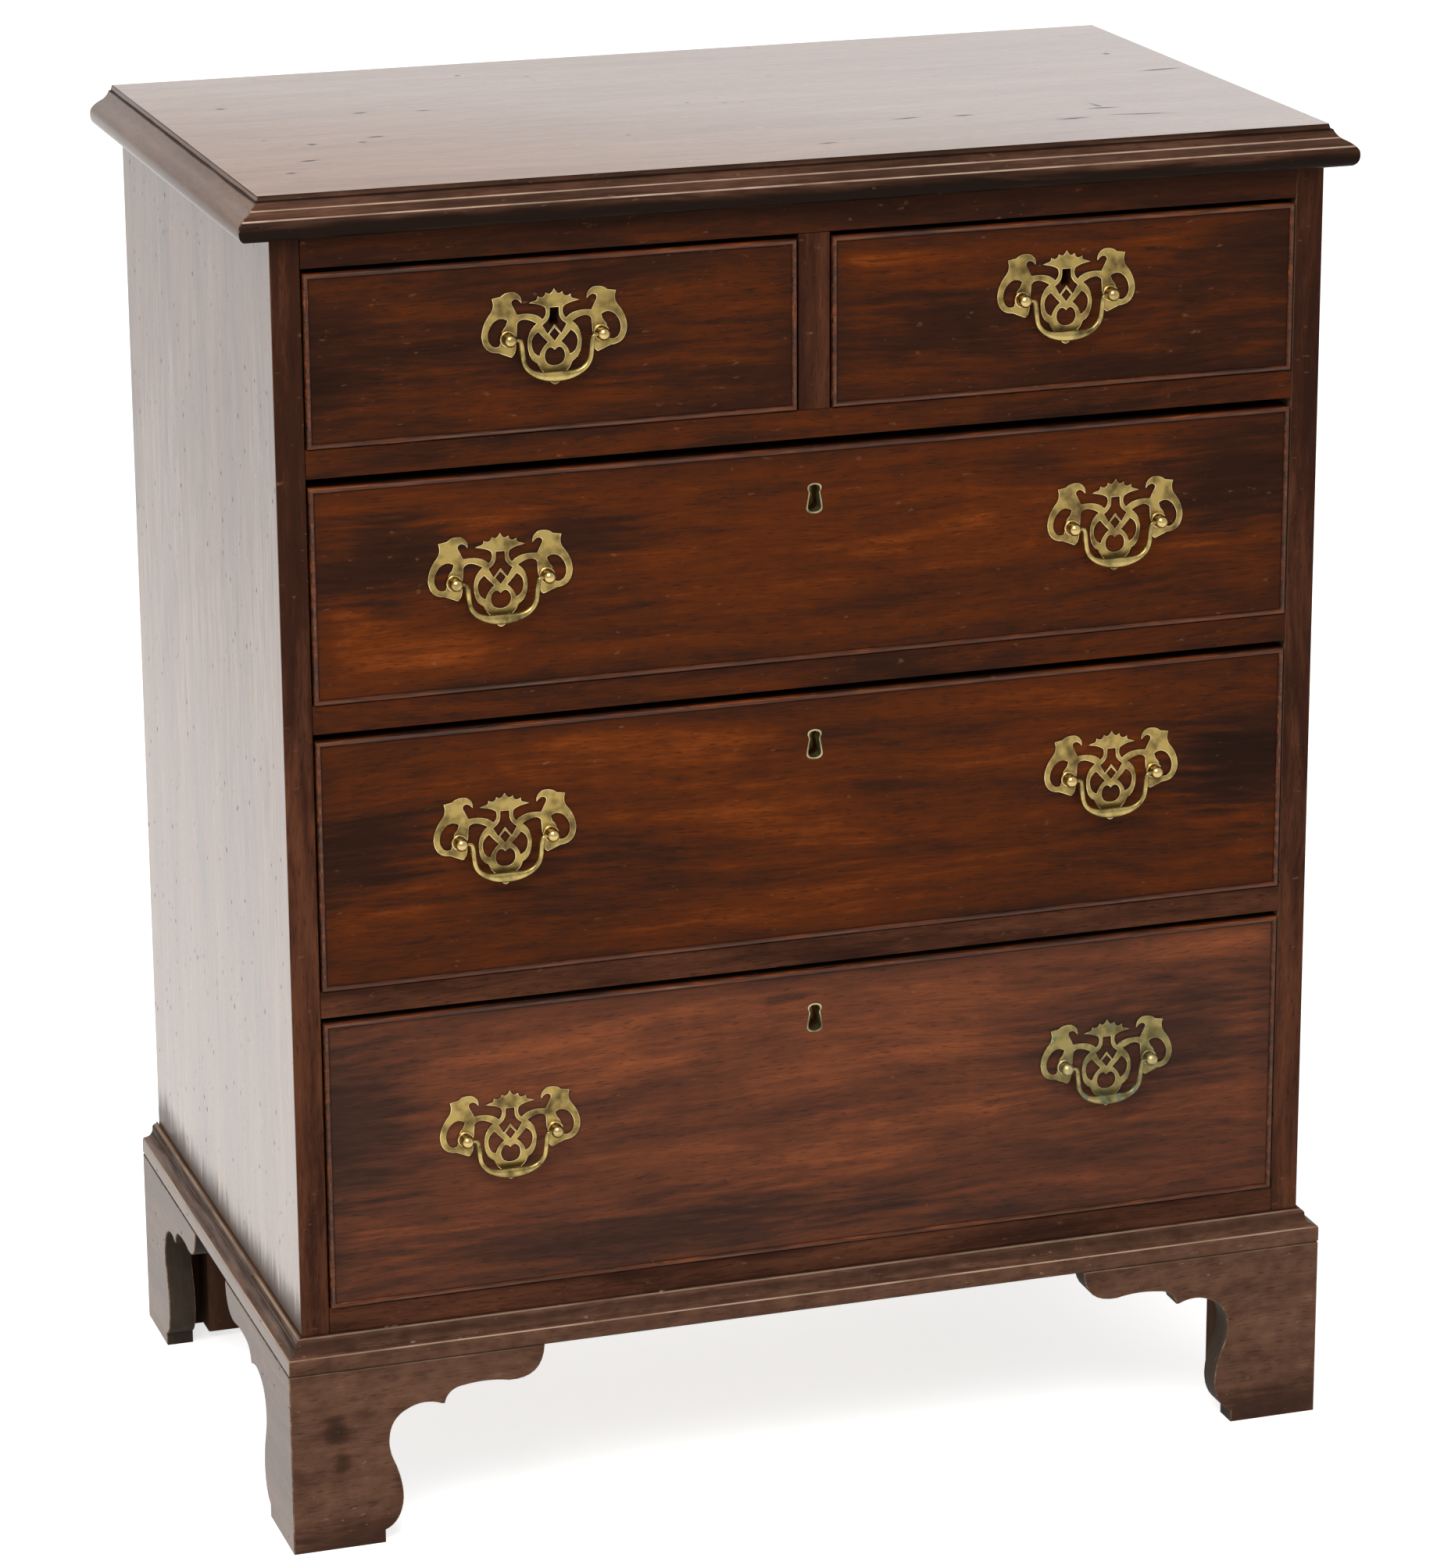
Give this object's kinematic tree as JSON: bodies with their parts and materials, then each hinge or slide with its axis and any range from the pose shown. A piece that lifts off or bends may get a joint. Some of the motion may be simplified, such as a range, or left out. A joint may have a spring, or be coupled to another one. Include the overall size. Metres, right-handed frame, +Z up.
{
  "type": "bachelor's chest",
  "caption": "Small chest of drawers with two short drawers over three long ones, a moulded top, shaped bracket feet and pierced brass handles with swinging bails.",
  "frame": {"origin": "on the floor, under the middle of the chest's bounding box", "axes": "+Z up, -Y towards the user who faces the drawers, +X to that user's right"},
  "size_m": [0.7846, 0.4534, 0.9455],
  "materials": {
    "mahogany": "old polished mahogany, dark red brown with orange figure and darkened edges",
    "faded_mahogany": "polished and sun-faded mahogany with straight streaks, small dents and stains",
    "base_mahogany": "dry, worn mahogany with grey dust in the grain and pale arrises",
    "oak": "unfinished oak, toned brown with age",
    "pine": "unfinished pine, sawn and toned brown with age",
    "brass": "old lacquered brass, dull olive gold with bright worn high points"
  },
  "bodies": {
    "carcass": {"top": "faded_mahogany", "side_left": "faded_mahogany", "side_right": "faded_mahogany", "back_panel": "pine", "top_rail": "mahogany", "upper_rail": "mahogany", "middle_rail": "mahogany", "lower_rail": "mahogany", "bottom_rail": "mahogany", "drawer_divider": "mahogany", "upper_dustboard": "pine", "middle_dustboard": "pine", "lower_dustboard": "pine", "bottom_board": "pine", "base_moulding": "base_mahogany", "front_left_foot": "base_mahogany", "front_right_foot": "base_mahogany", "rear_left_foot": "base_mahogany", "rear_right_foot": "base_mahogany"},
    "bottom_drawer": {"bottom_drawer_front": "mahogany", "bottom_drawer_side_left": "oak", "bottom_drawer_side_right": "oak", "bottom_drawer_back": "oak", "bottom_drawer_bottom": "oak", "bottom_drawer_left_handle_plate": "brass", "bottom_drawer_right_handle_plate": "brass"},
    "bottom_drawer_left_bail": {"bottom_drawer_left_bail": "brass"},
    "bottom_drawer_right_bail": {"bottom_drawer_right_bail": "brass"},
    "third_drawer": {"third_drawer_front": "mahogany", "third_drawer_side_left": "oak", "third_drawer_side_right": "oak", "third_drawer_back": "oak", "third_drawer_bottom": "oak", "third_drawer_left_handle_plate": "brass", "third_drawer_right_handle_plate": "brass"},
    "third_drawer_left_bail": {"third_drawer_left_bail": "brass"},
    "third_drawer_right_bail": {"third_drawer_right_bail": "brass"},
    "second_drawer": {"second_drawer_front": "mahogany", "second_drawer_side_left": "oak", "second_drawer_side_right": "oak", "second_drawer_back": "oak", "second_drawer_bottom": "oak", "second_drawer_left_handle_plate": "brass", "second_drawer_right_handle_plate": "brass"},
    "second_drawer_left_bail": {"second_drawer_left_bail": "brass"},
    "second_drawer_right_bail": {"second_drawer_right_bail": "brass"},
    "top_left_drawer": {"top_left_drawer_front": "mahogany", "top_left_drawer_side_left": "oak", "top_left_drawer_side_right": "oak", "top_left_drawer_back": "oak", "top_left_drawer_bottom": "oak", "top_left_drawer_handle_plate": "brass"},
    "top_left_drawer_bail": {"top_left_drawer_bail": "brass"},
    "top_right_drawer": {"top_right_drawer_front": "mahogany", "top_right_drawer_side_left": "oak", "top_right_drawer_side_right": "oak", "top_right_drawer_back": "oak", "top_right_drawer_bottom": "oak", "top_right_drawer_handle_plate": "brass"},
    "top_right_drawer_bail": {"top_right_drawer_bail": "brass"}
  },
  "joints": [
    {"name": "top_right_drawer_slide", "type": "slide", "parent": "carcass", "child": "top_right_drawer", "axis": [0, -1, 0], "range_m": [0, 0.33]},
    {"name": "top_left_drawer_slide", "type": "slide", "parent": "carcass", "child": "top_left_drawer", "axis": [0, -1, 0], "range_m": [0, 0.33]},
    {"name": "second_drawer_slide", "type": "slide", "parent": "carcass", "child": "second_drawer", "axis": [0, -1, 0], "range_m": [0, 0.33]},
    {"name": "third_drawer_slide", "type": "slide", "parent": "carcass", "child": "third_drawer", "axis": [0, -1, 0], "range_m": [0, 0.33]},
    {"name": "bottom_drawer_slide", "type": "slide", "parent": "carcass", "child": "bottom_drawer", "axis": [0, -1, 0], "range_m": [0, 0.33]},
    {"name": "bottom_drawer_left_bail_hinge", "type": "hinge", "parent": "bottom_drawer", "child": "bottom_drawer_left_bail", "pos_m": [-0.2195, -0.2215, 0.286], "axis": [-1, 0, 0], "range_deg": [0, 165]},
    {"name": "bottom_drawer_right_bail_hinge", "type": "hinge", "parent": "bottom_drawer", "child": "bottom_drawer_right_bail", "pos_m": [0.2195, -0.2215, 0.286], "axis": [-1, 0, 0], "range_deg": [0, 165]},
    {"name": "third_drawer_left_bail_hinge", "type": "hinge", "parent": "third_drawer", "child": "third_drawer_left_bail", "pos_m": [-0.2195, -0.2215, 0.4988], "axis": [-1, 0, 0], "range_deg": [0, 165]},
    {"name": "third_drawer_right_bail_hinge", "type": "hinge", "parent": "third_drawer", "child": "third_drawer_right_bail", "pos_m": [0.2195, -0.2215, 0.4988], "axis": [-1, 0, 0], "range_deg": [0, 165]},
    {"name": "second_drawer_left_bail_hinge", "type": "hinge", "parent": "second_drawer", "child": "second_drawer_left_bail", "pos_m": [-0.2195, -0.2215, 0.679], "axis": [-1, 0, 0], "range_deg": [0, 165]},
    {"name": "second_drawer_right_bail_hinge", "type": "hinge", "parent": "second_drawer", "child": "second_drawer_right_bail", "pos_m": [0.2195, -0.2215, 0.679], "axis": [-1, 0, 0], "range_deg": [0, 165]},
    {"name": "top_left_drawer_bail_hinge", "type": "hinge", "parent": "top_left_drawer", "child": "top_left_drawer_bail", "pos_m": [-0.17975, -0.2215, 0.841], "axis": [-1, 0, 0], "range_deg": [0, 165]},
    {"name": "top_right_drawer_bail_hinge", "type": "hinge", "parent": "top_right_drawer", "child": "top_right_drawer_bail", "pos_m": [0.18125, -0.2215, 0.841], "axis": [-1, 0, 0], "range_deg": [0, 165]}
  ]
}
